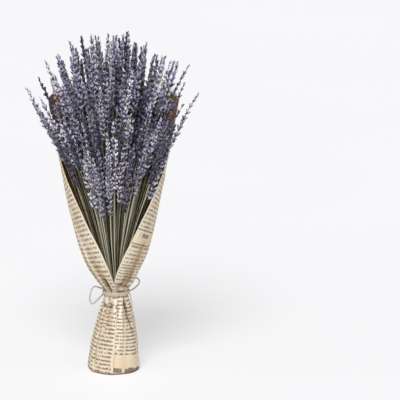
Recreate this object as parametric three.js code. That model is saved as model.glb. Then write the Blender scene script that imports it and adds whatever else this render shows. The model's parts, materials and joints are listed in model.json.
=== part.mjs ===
// A bunch of dried lavender, wrapped in one sheet of newsprint and tied with
// jute twine. It stands on its cut stem ends and on the hem of the paper.
//
// Millimetres, +Z up. The origin is on the surface the bunch stands on, under
// the middle of the bunch. The opening of the paper faces -Y.

import * as THREE from 'three';

// ---- the whole bunch -------------------------------------------------------

const BUNCH_HEIGHT = 430; // tip of the tallest sprig
const TIE_HEIGHT = 100; // middle of the twine winding
const FAN_RADIUS = 107; // how far the outer stems would spread at FAN_HEIGHT
const FAN_HEIGHT = 345;
const FAN_DEPTH_SHARE = 0.8; // the fan is a little flatter front to back
const GAP = 0.3; // clearance between neighbouring pieces

// ---- twine -----------------------------------------------------------------

const TWINE_DIAMETER = 1.8;
const TWINE_TURNS = 3;
const KNOT_SIZE = [9, 6, 7.2]; // along X, Y and Z

// ---- paper -----------------------------------------------------------------

const PAPER_THICKNESS = 0.6;
const FOOT_RADIUS = 33; // outside of the hem
const WAIST_RADIUS = 15; // outside of the paper under the twine
const WAIST_BAND = 7; // height of the straight part under the twine
const SKIRT_BULGE = 0.65; // 0 is a straight cone from waist to hem
const COLLAR_RADIUS = 24; // how far the paper springs out above the twine
const COLLAR_REACH = 32; // height over which it springs out
const CONE_SLOPE = 0.175; // sideways growth per millimetre of height above
const PAPER_DEPTH_SHARE = 0.82; // depth over width of the open cone
const OPENING_HEIGHT = 117; // lowest point of the front opening
const OPENING_RISE = 2.07; // height gained by the free edge per degree
const CORNER_START = 75; // azimuth where the free edge turns up, degrees
const CORNER_END = 92; // azimuth of the sheet's top corner, degrees
const HOLD_START = 65; // azimuth from which the sheet begins to hold the sprigs in, degrees
const HOLD_END = 85; // and from which it holds them all
const BACK_HEIGHT = 350; // top edge of the sheet behind the flowers
const TIE_PULL = 3.2; // the twine pulls the waist this far towards +X
const TIE_PULL_HEIGHT = 90;
const TIE_PULL_REACH = 50;

// ---- sprigs ----------------------------------------------------------------

const SPRIG_COUNT = 50;
const STEM_RADIUS = 1;
const SPIKE_RADIUS = 6.5; // outside of the flower spike
const SPIKE_LENGTH = 92;
const SPIKE_LENGTH_SPREAD = 22; // the shortest spike is this much shorter
const TIP_SPREAD = 20; // the cut lengths differ by up to this much
const SIDE_DROP = 45; // how much lower the tips are at the sides
const BACK_DROP = 18; // and at the back
const FRONT_DROP = 125; // and at the front, where the heads step down
const DROOP = 14; // how far an outer sprig nods outwards at DROOP_LENGTH above DROOP_HEIGHT
const DROOP_LENGTH = 100;
const DROOP_HEIGHT = 235;
const LEAN_SPREAD = 2.4; // sideways play of a sprig at FAN_HEIGHT
const LEAN_PASSES = 12; // rounds in which crowded sprigs lean apart
const LEAN_STEP = 8; // heights at which their clearance is looked at

// ---- mesh resolution -------------------------------------------------------

const PAPER_COLUMNS = 48;
const SKIRT_ROWS = 3;
const CONE_ROWS = 8;
const CONE_ROW_CROWDING = 1.4; // above 1, the rows crowd towards the tie
const SPRIG_SIDES = 6;
const TWINE_SIDES = 8;
const TWINE_STEP = 2.5; // twine diameters between two sections of a tube
const WINDING_SIDES = 36;
const KNOT_SIDES = [12, 8]; // around and over
const FIRST_STATION = 8; // above the tie, where a stem's next section is
const STATION_GROWTH = 1.5; // and how much longer each step is than the one below
const STATION_CLEARANCE = 5; // none is this close under the spike

const GOLDEN_ANGLE = Math.PI * (3 - Math.sqrt(5));
const BAND_BOTTOM = TIE_HEIGHT - WAIST_BAND / 2;
const BAND_TOP = TIE_HEIGHT + WAIST_BAND / 2;
const { degToRad, radToDeg, smoothstep, lerp } = THREE.MathUtils;

const bunch = new THREE.Group();

function addPiece(name, geometry, color, roughness) {
  const material = new THREE.MeshStandardMaterial({ color, roughness, metalness: 0 });
  const piece = new THREE.Mesh(geometry, material);
  piece.name = name;
  bunch.add(piece);
  return piece;
}

// ---- the paper's shape -----------------------------------------------------

function axisX(z) {
  return TIE_PULL * Math.exp(-(((z - TIE_PULL_HEIGHT) / TIE_PULL_REACH) ** 2));
}

function paperRadius(z) {
  if (z < BAND_BOTTOM) {
    const t = (BAND_BOTTOM - z) / BAND_BOTTOM;
    const flare = t * (1 + SKIRT_BULGE * (1 - t));
    return WAIST_RADIUS + (FOOT_RADIUS - WAIST_RADIUS) * flare;
  }
  const h = Math.max(0, z - BAND_TOP);
  const collar = COLLAR_RADIUS * (1 - Math.exp(-h / COLLAR_REACH));
  return WAIST_RADIUS + collar + CONE_SLOPE * h;
}

function paperDepthShare(z) {
  const h = Math.max(0, z - BAND_TOP);
  return 1 - (1 - PAPER_DEPTH_SHARE) * (1 - Math.exp(-h / COLLAR_REACH));
}

// Height of the sheet's edge at an azimuth measured in degrees from the front.
function paperTop(azimuth) {
  const freeEdge = OPENING_HEIGHT + OPENING_RISE * Math.min(azimuth, CORNER_START);
  const corner = smoothstep(azimuth, CORNER_START, CORNER_END);
  return lerp(freeEdge, BACK_HEIGHT, corner);
}

function paperPoint(azimuth, z, inset) {
  const width = paperRadius(z) - inset;
  const depth = paperRadius(z) * paperDepthShare(z) - inset;
  const angle = degToRad(azimuth);
  return [axisX(z) + width * Math.sin(angle), -depth * Math.cos(angle), z];
}

function paperRowHeights(top) {
  const rows = [];
  for (let k = 0; k <= SKIRT_ROWS; k++) {
    rows.push((BAND_BOTTOM * k) / SKIRT_ROWS);
  }
  for (let k = 0; k <= CONE_ROWS; k++) {
    rows.push(BAND_TOP + (top - BAND_TOP) * (k / CONE_ROWS) ** CONE_ROW_CROWDING);
  }
  return rows;
}

// The sheet is a tube: outside rows from hem to top edge, then inside rows
// back down, and each column is one closed strip of quads.
function paperWrap() {
  const positions = [];
  const indices = [];
  let strip = 0;
  for (let column = 0; column < PAPER_COLUMNS; column++) {
    const azimuth = (360 * column) / PAPER_COLUMNS;
    const heights = paperRowHeights(paperTop(Math.min(azimuth, 360 - azimuth)));
    const outside = heights.map((z) => paperPoint(azimuth, z, 0));
    const inside = heights.map((z) => paperPoint(azimuth, z, PAPER_THICKNESS)).reverse();
    strip = outside.length + inside.length;
    positions.push(...outside.flat(), ...inside.flat());
  }
  for (let column = 0; column < PAPER_COLUMNS; column++) {
    const next = (column + 1) % PAPER_COLUMNS;
    for (let row = 0; row < strip; row++) {
      const above = (row + 1) % strip;
      const a = column * strip + row;
      const b = next * strip + row;
      const c = next * strip + above;
      const d = column * strip + above;
      indices.push(a, b, c, a, c, d);
    }
  }
  const geometry = new THREE.BufferGeometry();
  geometry.setAttribute('position', new THREE.Float32BufferAttribute(positions, 3));
  geometry.setIndex(indices);
  geometry.computeVertexNormals();
  return geometry;
}

// ---- where the sprigs run --------------------------------------------------

const STEM_RING = WAIST_RADIUS - PAPER_THICKNESS - GAP - STEM_RADIUS;
const STEM_FOOT_RING = FOOT_RADIUS - PAPER_THICKNESS - GAP - STEM_RADIUS - GAP;

// Stems are straight lines that the twine squeezes together, so their distance
// from the middle follows a hyperbola whose waist is at the tie.
function squeezeLength(radius, height) {
  return height / Math.sqrt((radius / STEM_RING) ** 2 - 1);
}

const FAN_SQUEEZE = squeezeLength(FAN_RADIUS, FAN_HEIGHT - BAND_TOP);
const FOOT_SQUEEZE = squeezeLength(STEM_FOOT_RING, BAND_BOTTOM);

function fanScale(z) {
  const h = Math.max(0, z - BAND_TOP);
  return Math.hypot(1, h / FAN_SQUEEZE);
}

function footScale(z) {
  const h = Math.max(0, BAND_BOTTOM - z);
  return Math.hypot(1, h / FOOT_SQUEEZE);
}

// Share of the full spread that the paper leaves to the sprigs at an azimuth:
// they spread freely over the front opening and stay inside the sheet behind.
function spreadShare(azimuth) {
  const edge = paperTop(azimuth);
  const wrapped = smoothstep(azimuth, HOLD_START, HOLD_END);
  const sprigRadius = lerp(STEM_RADIUS, SPIKE_RADIUS, wrapped);
  const room = paperRadius(edge) - PAPER_THICKNESS - GAP - sprigRadius;
  const share = (room / STEM_RING - 1) / (fanScale(edge) - 1);
  return Math.min(1, share);
}

// How much of a sprig's own lean it has at a height: none below the tie.
function leanShare(z) {
  return Math.max(0, z - BAND_TOP) / (FAN_HEIGHT - BAND_TOP);
}

function sprigAxis(sprig, z) {
  const up = (fanScale(z) - 1) * sprig.spread;
  const foot = footScale(z);
  const above = Math.max(0, z - Math.max(sprig.edge, DROOP_HEIGHT));
  const nod = (DROOP * (above / DROOP_LENGTH) ** 2) / STEM_RING;
  const x = sprig.x * (foot + up + nod) + sprig.leanX * leanShare(z);
  const y = sprig.y * (foot + (up + nod) * FAN_DEPTH_SHARE) + sprig.leanY * leanShare(z);
  return [axisX(z) + x, y];
}

// ---- one sprig: a stem with its flower spike, grown as one piece -----------

// Shape of the spike: share of its length, and share of its radius there.
const SPIKE_PROFILE = [
  [0.04, 0.42],
  [0.28, 0.9],
  [0.6, 1],
  [0.9, 0.55],
];

// Heights at which every stem is sampled, closer together near the tie. All
// stems share them, so neighbours bend alike and never cross.
function stemStations(spikeBase) {
  const stations = [0, BAND_BOTTOM / 2, BAND_BOTTOM, BAND_TOP];
  let h = FIRST_STATION;
  while (BAND_TOP + h < spikeBase - STATION_CLEARANCE) {
    stations.push(BAND_TOP + h);
    h = h * STATION_GROWTH + FIRST_STATION;
  }
  return stations;
}

function sprigGeometry(sprig) {
  const spikeBase = sprig.tip - sprig.spikeLength;
  const profile = [new THREE.Vector2(0, 0)];
  for (const z of [...stemStations(spikeBase), spikeBase]) {
    profile.push(new THREE.Vector2(STEM_RADIUS, z));
  }
  for (const [t, share] of SPIKE_PROFILE) {
    profile.push(new THREE.Vector2(SPIKE_RADIUS * share, spikeBase + sprig.spikeLength * t));
  }
  profile.push(new THREE.Vector2(0, sprig.tip));
  const geometry = new THREE.LatheGeometry(profile, SPRIG_SIDES);
  geometry.rotateX(Math.PI / 2);
  const position = geometry.attributes.position;
  for (let i = 0; i < position.count; i++) {
    const z = position.getZ(i);
    const [x, y] = sprigAxis(sprig, z);
    position.setXY(i, position.getX(i) + x, position.getY(i) + y);
  }
  geometry.computeVertexNormals();
  return geometry;
}

// Small repeatable generator of numbers from 0 to 1.
function seededRandom(seed) {
  let state = seed;
  return () => {
    state = (state * 1664525 + 1013904223) % 4294967296;
    return state / 4294967296;
  };
}

function tipDrop(side, back) {
  const front = Math.max(0, -back);
  const step = FRONT_DROP * front ** 1.5 * (1 - side ** 2 / 2);
  return SIDE_DROP * side ** 2 + BACK_DROP * back ** 2 + step;
}

// Outer radius of a sprig at a height, on the safe side for its spike.
function sprigRadius(sprig, z) {
  if (z > sprig.tip) return -Infinity;
  return z < sprig.tip - sprig.spikeLength ? STEM_RADIUS : SPIKE_RADIUS;
}

// Neighbours that would touch lean away from each other, as far as both need.
function giveWay(sprigs) {
  for (let pass = 0; pass < LEAN_PASSES; pass++) {
    sprigs.forEach((a, i) => sprigs.slice(i + 1).forEach((b) => leanApart(a, b)));
    sprigs.forEach(leanInside);
  }
}

// The paper holds in the sprigs that it goes round.
function leanInside(sprig) {
  for (let z = OPENING_HEIGHT; z < sprig.edge; z += LEAN_STEP) {
    const [axis, y] = sprigAxis(sprig, z);
    const x = axis - axisX(z);
    const wall = PAPER_THICKNESS + GAP + Math.max(STEM_RADIUS, sprigRadius(sprig, z));
    const width = paperRadius(z) - wall;
    const depth = paperRadius(z) * paperDepthShare(z) - wall;
    const over = Math.hypot(x / width, y / depth) - 1;
    if (over <= 0) continue;
    sprig.leanX -= (x * over) / leanShare(z);
    sprig.leanY -= (y * over) / leanShare(z);
  }
}

function leanApart(a, b) {
  for (let z = OPENING_HEIGHT; z < BUNCH_HEIGHT; z += LEAN_STEP) {
    const [ax, ay] = sprigAxis(a, z);
    const [bx, by] = sprigAxis(b, z);
    const apart = Math.hypot(bx - ax, by - ay);
    const lack = sprigRadius(a, z) + sprigRadius(b, z) + GAP - apart;
    if (lack <= 0) continue;
    const push = lack / 2 / leanShare(z) / apart;
    a.leanX -= (bx - ax) * push;
    a.leanY -= (by - ay) * push;
    b.leanX += (bx - ax) * push;
    b.leanY += (by - ay) * push;
  }
}

function layOutSprigs() {
  const random = seededRandom(7);
  const sprigs = [];
  for (let i = 0; i < SPRIG_COUNT; i++) {
    const radius = Math.sqrt((i + 0.5) / SPRIG_COUNT);
    const side = radius * Math.sin(i * GOLDEN_ANGLE);
    const back = -radius * Math.cos(i * GOLDEN_ANGLE);
    const azimuth = Math.abs(radToDeg(Math.atan2(side, -back)));
    const cut = i === 0 ? 0 : TIP_SPREAD * random();
    sprigs.push({
      x: STEM_RING * side,
      y: STEM_RING * back,
      spread: spreadShare(azimuth),
      edge: paperTop(azimuth),
      leanX: LEAN_SPREAD * (random() - 0.5),
      leanY: LEAN_SPREAD * (random() - 0.5),
      tip: BUNCH_HEIGHT - (i === 0 ? 0 : tipDrop(side, back)) - cut,
      spikeLength: SPIKE_LENGTH - SPIKE_LENGTH_SPREAD * random(),
    });
  }
  giveWay(sprigs);
  return sprigs;
}

// ---- twine -----------------------------------------------------------------

const WINDING_INNER = WAIST_RADIUS + GAP;
const WINDING_OUTER = WINDING_INNER + TWINE_DIAMETER;

// Turns lying one above the other: flat against the paper, scalloped outside.
function windingGeometry() {
  const height = TWINE_DIAMETER * TWINE_TURNS;
  const groove = WINDING_OUTER - TWINE_DIAMETER / 3;
  const flat = [0.3, 0.7]; // the outermost share of each turn
  const profile = [new THREE.Vector2(WINDING_INNER, -height / 2)];
  for (let turn = 0; turn < TWINE_TURNS; turn++) {
    const bottom = -height / 2 + TWINE_DIAMETER * turn;
    profile.push(new THREE.Vector2(groove, bottom));
    for (const share of flat) {
      profile.push(new THREE.Vector2(WINDING_OUTER, bottom + TWINE_DIAMETER * share));
    }
  }
  profile.push(new THREE.Vector2(groove, height / 2));
  profile.push(new THREE.Vector2(WINDING_INNER, height / 2));
  profile.push(profile[0].clone());
  const geometry = new THREE.LatheGeometry(profile, WINDING_SIDES);
  geometry.rotateX(Math.PI / 2);
  return geometry;
}

function twineTube(route) {
  const path = new THREE.CatmullRomCurve3(route.map((point) => new THREE.Vector3(...point)));
  const section = new THREE.Shape();
  section.absarc(0, 0, TWINE_DIAMETER / 2, 0, Math.PI * 2);
  const steps = Math.ceil(path.getLength() / (TWINE_DIAMETER * TWINE_STEP));
  return new THREE.ExtrudeGeometry(section, {
    steps,
    curveSegments: TWINE_SIDES,
    extrudePath: path,
  });
}

// Routes of the free twine. The loops leave the knot sideways and come back to
// it, and one tail hangs from it: these are measured from the knot's middle.
// The other tail comes out from under the turns at the side, and is measured
// from there. Both tails end cut off.
const LOOP_LEFT = [
  [-5.0, 0, 1.3],
  [-10.1, -1.9, 0.8],
  [-15.1, -5.6, 0],
  [-19.6, -8.9, 1],
  [-23.6, -10.9, 3.2],
  [-27.9, -12.4, 3.6],
  [-31.1, -13.4, -0.5],
  [-32.5, -14.2, -7],
  [-32.9, -14.4, -13.5],
  [-29.6, -13.2, -18.4],
  [-23.1, -9.4, -14],
  [-17.6, -5.6, -9.4],
  [-11.6, -1.8, -5],
  [-5.0, 0, -1.7],
];
const LOOP_RIGHT = [
  [5.0, 0, -1.7],
  [9.4, -2.2, -3],
  [13.9, -5.8, -3.7],
  [18.4, -8.9, -2],
  [23.4, -9.9, 1.5],
  [27.9, -9.6, 6],
  [29.2, -8.6, 10],
  [26.7, -6.8, 13.2],
  [21.9, -3.9, 12.8],
  [15.9, -0.1, 10],
  [10.4, 2.2, 6.2],
  [5.0, 0.4, 1.8],
];
const TAIL_BACK = [
  [1.2, -0.2, -4.2],
  [1.8, 0.1, -10],
  [2.3, 1.2, -16],
  [2.6, 2.5, -23],
  [2.3, 3.7, -30],
  [1.6, 5.1, -37],
  [0.6, 6.8, -43],
  [-0.4, 8.2, -48],
];
const TAIL_RIGHT = [
  [0, 0, 0],
  [0.6, -0.8, -4.1],
  [1.5, -1.9, -8.8],
  [2.4, -3.3, -13.8],
  [2.9, -5, -18.8],
  [2.4, -7.3, -22.8],
  [0.6, -9.7, -25.8],
  [-2, -11.8, -27.4],
];
const TAIL_RIGHT_AZIMUTH = 74; // where it leaves the winding, degrees from the front
const TAIL_RIGHT_DROP = 2.4; // below the middle of the winding

function addTwine() {
  const color = 0xb9ac97;
  const middle = axisX(TIE_HEIGHT);
  const winding = addPiece('twine_winding', windingGeometry(), color, 0.95);
  winding.position.set(middle, 0, TIE_HEIGHT);

  const knotY = WINDING_OUTER + GAP + KNOT_SIZE[1] / 2;
  const knot = new THREE.Group();
  knot.position.set(middle, knotY, TIE_HEIGHT);
  bunch.add(knot);
  const ball = new THREE.SphereGeometry(0.5, ...KNOT_SIDES);
  ball.scale(...KNOT_SIZE);
  knot.add(addPiece('twine_knot', ball, color, 0.95));
  knot.add(addPiece('bow_loop_left', twineTube(LOOP_LEFT), color, 0.95));
  knot.add(addPiece('bow_loop_right', twineTube(LOOP_RIGHT), color, 0.95));
  knot.add(addPiece('tail_back', twineTube(TAIL_BACK), color, 0.95));

  const reach = WINDING_OUTER + GAP + TWINE_DIAMETER / 2;
  const azimuth = degToRad(TAIL_RIGHT_AZIMUTH);
  const tail = addPiece('tail_right', twineTube(TAIL_RIGHT), color, 0.95);
  tail.position.x = middle + reach * Math.sin(azimuth);
  tail.position.y = -reach * Math.cos(azimuth);
  tail.position.z = TIE_HEIGHT - TAIL_RIGHT_DROP;
}

// ---- assembly --------------------------------------------------------------

addPiece('paper_wrap', paperWrap(), 0xd8c6a0, 0.9);
addTwine();
layOutSprigs().forEach((sprig, i) => {
  const name = `sprig_${String(i + 1).padStart(2, '0')}`;
  addPiece(name, sprigGeometry(sprig), 0x77759a, 0.85);
});

export default bunch;
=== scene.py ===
# %% [markdown]
# A bunch of dried lavender, held by a sheet of newsprint and tied with jute
# twine. The CAD model says where everything is and how large it is. This
# script loads it as a fixed frame and gives each piece its fine shape and its
# surface. All lengths are in metres, so a value in millimetres is times MM.

# %% Load the frame
import bmesh
import bpy
import json
import math
import numpy as np
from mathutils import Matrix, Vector, noise
from mathutils.bvhtree import BVHTree

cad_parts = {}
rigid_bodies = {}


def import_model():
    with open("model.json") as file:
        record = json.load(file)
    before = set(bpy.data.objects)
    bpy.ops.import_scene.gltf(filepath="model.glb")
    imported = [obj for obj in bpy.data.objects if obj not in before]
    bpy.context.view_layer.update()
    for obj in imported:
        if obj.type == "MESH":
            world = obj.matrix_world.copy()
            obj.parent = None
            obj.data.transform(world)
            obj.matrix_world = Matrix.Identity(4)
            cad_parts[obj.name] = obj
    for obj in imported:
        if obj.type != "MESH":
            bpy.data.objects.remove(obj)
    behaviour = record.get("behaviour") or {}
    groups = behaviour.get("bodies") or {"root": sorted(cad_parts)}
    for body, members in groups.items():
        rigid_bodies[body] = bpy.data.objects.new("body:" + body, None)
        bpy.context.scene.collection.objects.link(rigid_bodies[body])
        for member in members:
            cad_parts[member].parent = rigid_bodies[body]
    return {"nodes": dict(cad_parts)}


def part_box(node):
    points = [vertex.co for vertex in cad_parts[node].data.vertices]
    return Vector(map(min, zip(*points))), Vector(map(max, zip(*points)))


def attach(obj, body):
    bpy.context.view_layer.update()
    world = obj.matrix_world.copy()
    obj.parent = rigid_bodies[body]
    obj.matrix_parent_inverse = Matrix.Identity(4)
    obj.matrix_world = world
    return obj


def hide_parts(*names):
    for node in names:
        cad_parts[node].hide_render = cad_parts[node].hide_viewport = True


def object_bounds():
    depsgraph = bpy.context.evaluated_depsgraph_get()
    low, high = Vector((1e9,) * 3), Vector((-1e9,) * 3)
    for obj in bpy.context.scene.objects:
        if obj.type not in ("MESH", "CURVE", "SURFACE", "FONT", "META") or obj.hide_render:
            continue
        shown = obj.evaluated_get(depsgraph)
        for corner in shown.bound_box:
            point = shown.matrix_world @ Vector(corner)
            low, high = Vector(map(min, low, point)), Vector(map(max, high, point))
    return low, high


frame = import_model()
MM = 0.001
CAD_BOX = [list(corner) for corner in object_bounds()]
CAD_LOW, CAD_HIGH = (Vector(corner) for corner in CAD_BOX)
scene = bpy.context.scene
print("CAD nodes:", len(frame["nodes"]), "height:", round(CAD_HIGH.z, 4))

# %% [markdown]
# The camera is a long lens eight metres away, so that the bunch is drawn
# almost without perspective. It looks down a little and stands square to the
# front. The lens is shifted sideways, which moves the bunch off the middle of
# the view without turning it.

# %% Camera
VIEW_WIDTH = 0.4984
VIEW_DISTANCE = 8
VIEW_ELEVATION = math.radians(15)
VIEW_SHIFT = 0.2195
SENSOR_WIDTH = 36

camera_data = bpy.data.cameras.new("camera")
camera_data.sensor_width = SENSOR_WIDTH
camera_data.lens = SENSOR_WIDTH * VIEW_DISTANCE / VIEW_WIDTH
camera_data.shift_x = VIEW_SHIFT
camera = bpy.data.objects.new("camera", camera_data)
scene.collection.objects.link(camera)
view_target = (CAD_LOW + CAD_HIGH) / 2 + Vector((0, 0, 3.6 * MM))
view_back = Vector((0, -math.cos(VIEW_ELEVATION), math.sin(VIEW_ELEVATION)))
camera.location = view_target + view_back * VIEW_DISTANCE
camera.rotation_euler = (-view_back).to_track_quat("-Z", "Y").to_euler()
scene.camera = camera
print("lens:", round(camera_data.lens, 1), "mm")

# %% [markdown]
# Every tree of nodes below is put together with the same few helpers. A tree
# is a recipe: it has named inputs for its sizes, and the same recipe makes
# all pieces of one kind. `grow` runs a recipe on a simple line and keeps what
# comes out as a plain mesh.

# %% Helpers for node trees
SOCKETS = {float: "NodeSocketFloat", int: "NodeSocketInt", bpy.types.Object: "NodeSocketObject",
           bpy.types.Material: "NodeSocketMaterial"}


def new_recipe(name, inputs):
    """A geometry tree with a Geometry input and the named inputs; returns it and its input node."""
    tree = bpy.data.node_groups.new(name, "GeometryNodeTree")
    face = tree.interface
    face.new_socket("Geometry", in_out="INPUT", socket_type="NodeSocketGeometry")
    for label, kind in inputs.items():
        face.new_socket(label, in_out="INPUT", socket_type=SOCKETS[kind])
    face.new_socket("Geometry", in_out="OUTPUT", socket_type="NodeSocketGeometry")
    return tree, tree.nodes.new("NodeGroupInput").outputs


def pick(sockets, key):
    """A socket by its identifier, or by its name or number."""
    named = [socket for socket in sockets if socket.identifier == key]
    return named[0] if named else sockets[key]


def add_node(tree, kind, inputs=None, **settings):
    """A new node with its settings, and its inputs set to values or linked to sockets."""
    made = tree.nodes.new(kind)
    for key, value in settings.items():
        setattr(made, key, value)
    for key, value in (inputs or {}).items():
        socket = pick(made.inputs, key)
        if isinstance(value, bpy.types.NodeSocket):
            tree.links.new(value, socket)
        else:
            socket.default_value = value
    return made


def calc(tree, operation, *values):
    """One step of arithmetic."""
    family = "ShaderNodeMath"
    made = add_node(tree, family, dict(enumerate(values)), operation=operation)
    return made.outputs[0]


def put_in_scene(name, mesh):
    piece = bpy.data.objects.new(name, mesh)
    scene.collection.objects.link(piece)
    return piece


def frozen(host, name):
    """What an object looks like with its modifiers, as a plain mesh in a new object."""
    depsgraph = bpy.context.evaluated_depsgraph_get()
    mesh = bpy.data.meshes.new_from_object(host.evaluated_get(depsgraph), depsgraph=depsgraph)
    bpy.data.objects.remove(host)
    mesh.name = name
    return put_in_scene(name, mesh)


def line_mesh(name, paths, attributes=None):
    """Lines through points, one for each path, with one number per path for each attribute."""
    points = [tuple(point) for path in paths for point in path]
    edges = []
    first = 0
    for path in paths:
        edges += [(first + i, first + i + 1) for i in range(len(path) - 1)]
        first += len(path)
    mesh = bpy.data.meshes.new(name)
    mesh.from_pydata(points, edges, [])
    for label, values in (attributes or {}).items():
        layer = mesh.attributes.new(label, "FLOAT", "POINT")
        spread = np.repeat(values, [len(path) for path in paths])
        layer.data.foreach_set("value", spread.astype(np.float32))
    return mesh


def grow(name, recipe, lines, values):
    """Run a recipe on lines with these values for its named inputs."""
    host = put_in_scene(name + "_line", lines)
    modifier = host.modifiers.new("recipe", "NODES")
    modifier.node_group = recipe
    for item in recipe.interface.items_tree:
        if item.in_out == "INPUT" and item.name in values:
            modifier[item.identifier] = values[item.name]
    return frozen(host, name)


def smooth_path(points, step):
    """A smooth curve through the points (Catmull-Rom), with a point about every step."""
    known = [np.array(point, float) for point in points]
    known = [2 * known[0] - known[1]] + known + [2 * known[-1] - known[-2]]
    path = []
    for a, b, c, d in zip(known, known[1:], known[2:], known[3:]):
        count = max(1, round(np.linalg.norm(c - b) / step))
        for t in np.arange(count) / count:
            path.append(0.5 * (2 * b + (c - a) * t + (2 * a - 5 * b + 4 * c - d) * t**2
                               + (3 * b - a - 3 * c + d) * t**3))
    return path + [known[-2]]


def path_length(path):
    return float(sum(np.linalg.norm(np.subtract(b, a)) for a, b in zip(path, path[1:])))


def finish_piece(piece, slot, *nodes):
    """Every piece rides on the one body and stands in for its CAD nodes, which are hidden; the slot argument
    is not used.
    """
    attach(piece, "root")
    if nodes:
        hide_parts(*nodes)


print("helpers are ready")

# %% [markdown]
# A material is a tree of nodes too. These helpers read a colour the way a
# paint chart gives it, from 0 to 255, and mix noise and colours so that no
# surface has one flat colour.

# %% Helpers for materials


def paint(red, green, blue):
    """A colour from 0 to 255, turned into the linear light that Blender works in."""
    def linear(value):
        share = value / 255
        return share / 12.92 if share <= 0.04045 else ((share + 0.055) / 1.055) ** 2.4
    return (linear(red), linear(green), linear(blue), 1)


def new_material(name, roughness):
    """A material and its tree, with a plain shader whose Base Color is still free."""
    material = bpy.data.materials.new(name)
    material.use_nodes = True
    tree = material.node_tree
    shader = tree.nodes["Principled BSDF"]
    shader.inputs["Roughness"].default_value = roughness
    shader.inputs["Specular IOR Level"].default_value = 0.25
    return material, tree, shader


def noise_at(tree, where, scale, detail=3, stretch=(1, 1, 1)):
    """Soft noise from 0 to 1, drawn out along an axis when stretch is small there."""
    mapped = add_node(tree, "ShaderNodeMapping", {"Vector": where, "Scale": stretch})
    values = {"Vector": mapped.outputs[0], "Scale": scale, "Detail": detail}
    return add_node(tree, "ShaderNodeTexNoise", values).outputs["Fac"]


def ramp(tree, value, stops):
    """Colours or greys along a value from 0 to 1."""
    made = add_node(tree, "ShaderNodeValToRGB", {"Fac": value})
    band = made.color_ramp
    while len(band.elements) < len(stops):
        band.elements.new(0.5)
    for element, (place, color) in zip(band.elements, stops):
        element.position = place
        element.color = color
    return made.outputs["Color"]


def fade(tree, value, low, high, most=1):
    """A mask that is nothing up to the low value and grows to its most at the high one."""
    return ramp(tree, value, [(low, (0, 0, 0, 1)), (high, (most, most, most, 1))])


def blend_colors(tree, share, first, second, how="MIX"):
    values = {"Factor_Float": share, "A_Color": first, "B_Color": second}
    made = add_node(tree, "ShaderNodeMix", values, data_type="RGBA", blend_type=how)
    return made.outputs["Result_Color"] if "Result_Color" in made.outputs else made.outputs[2]


def attribute_value(tree, name):
    return add_node(tree, "ShaderNodeAttribute", attribute_name=name).outputs["Fac"]


def object_place(tree):
    return add_node(tree, "ShaderNodeTexCoord").outputs["Object"]


def add_bump(tree, shader, height, distance, strength=1.0):
    values = {"Height": height, "Distance": distance, "Strength": strength}
    bump = add_node(tree, "ShaderNodeBump", values)
    tree.links.new(bump.outputs["Normal"], shader.inputs["Normal"])


print("material helpers are ready")

# %% [markdown]
# Jute is a coarse, pale brown plant fibre. Its colour changes from fibre to
# fibre, so a fine noise darkens some of them and raises the pale ones a
# little, and a coarser noise greys whole stretches of the twine.

# %% Jute material
jute, tree, shader = new_material("jute", 0.9)
place = object_place(tree)
fibres = noise_at(tree, place, 900, 4)
shade = ramp(tree, fibres, [(0.3, paint(158, 144, 126)), (0.5, paint(204, 190, 168)),
                            (0.72, paint(232, 222, 204))])
worn = noise_at(tree, place, 90, 2)
shade = blend_colors(tree, calc(tree, "MULTIPLY", worn, 0.4), shade, paint(176, 168, 166))
tree.links.new(shade, shader.inputs["Base Color"])
add_bump(tree, shader, fibres, 0.25 * MM)
print("jute is ready")

# %% [markdown]
# Twine is three plies twisted round each other, with loose fibres standing
# off. The recipe sweeps a three-lobed section along the line and turns it as
# it goes, which gives three plies in one closed skin. Hairs are then scattered
# on that skin, each one a thin spike that leans over by an angle of its own.

# %% Twine recipe
PLIES = 3
PLY_POINTS = 4


def ply_section():
    """The section of the twine, one millimetre across its radius, as a closed line."""
    count = PLIES * PLY_POINTS
    points = []
    for i in range(count):
        turn = 2 * math.pi * i / count
        radius = (0.74 + 0.26 * abs(math.cos(PLIES * turn / 2))) * MM
        points.append((radius * math.cos(turn), radius * math.sin(turn), 0))
    mesh = bpy.data.meshes.new("ply_section")
    mesh.from_pydata(points, [(i, (i + 1) % count) for i in range(count)], [])
    return put_in_scene("ply_section", mesh)


def hair():
    """A loose fibre: a bent three-sided spike along +Z, one millimetre long."""
    mesh = bpy.data.meshes.new("hair")
    base = [(0.035 * math.cos(a), 0.035 * math.sin(a), 0) for a in (0, 2.1, 4.2)]
    middle = [(x * 0.8 + 0.12, y * 0.8, 0.5) for x, y, _ in base]
    points = [Vector(p) * MM for p in base + middle + [(0.35, 0.05, 1.0)]]
    faces = [(2, 1, 0)]
    for i in range(3):
        j = (i + 1) % 3
        faces += [(i, j, 3 + j, 3 + i), (3 + i, 3 + j, 6)]
    mesh.from_pydata(points, [], faces)
    return put_in_scene("hair", mesh)


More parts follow.
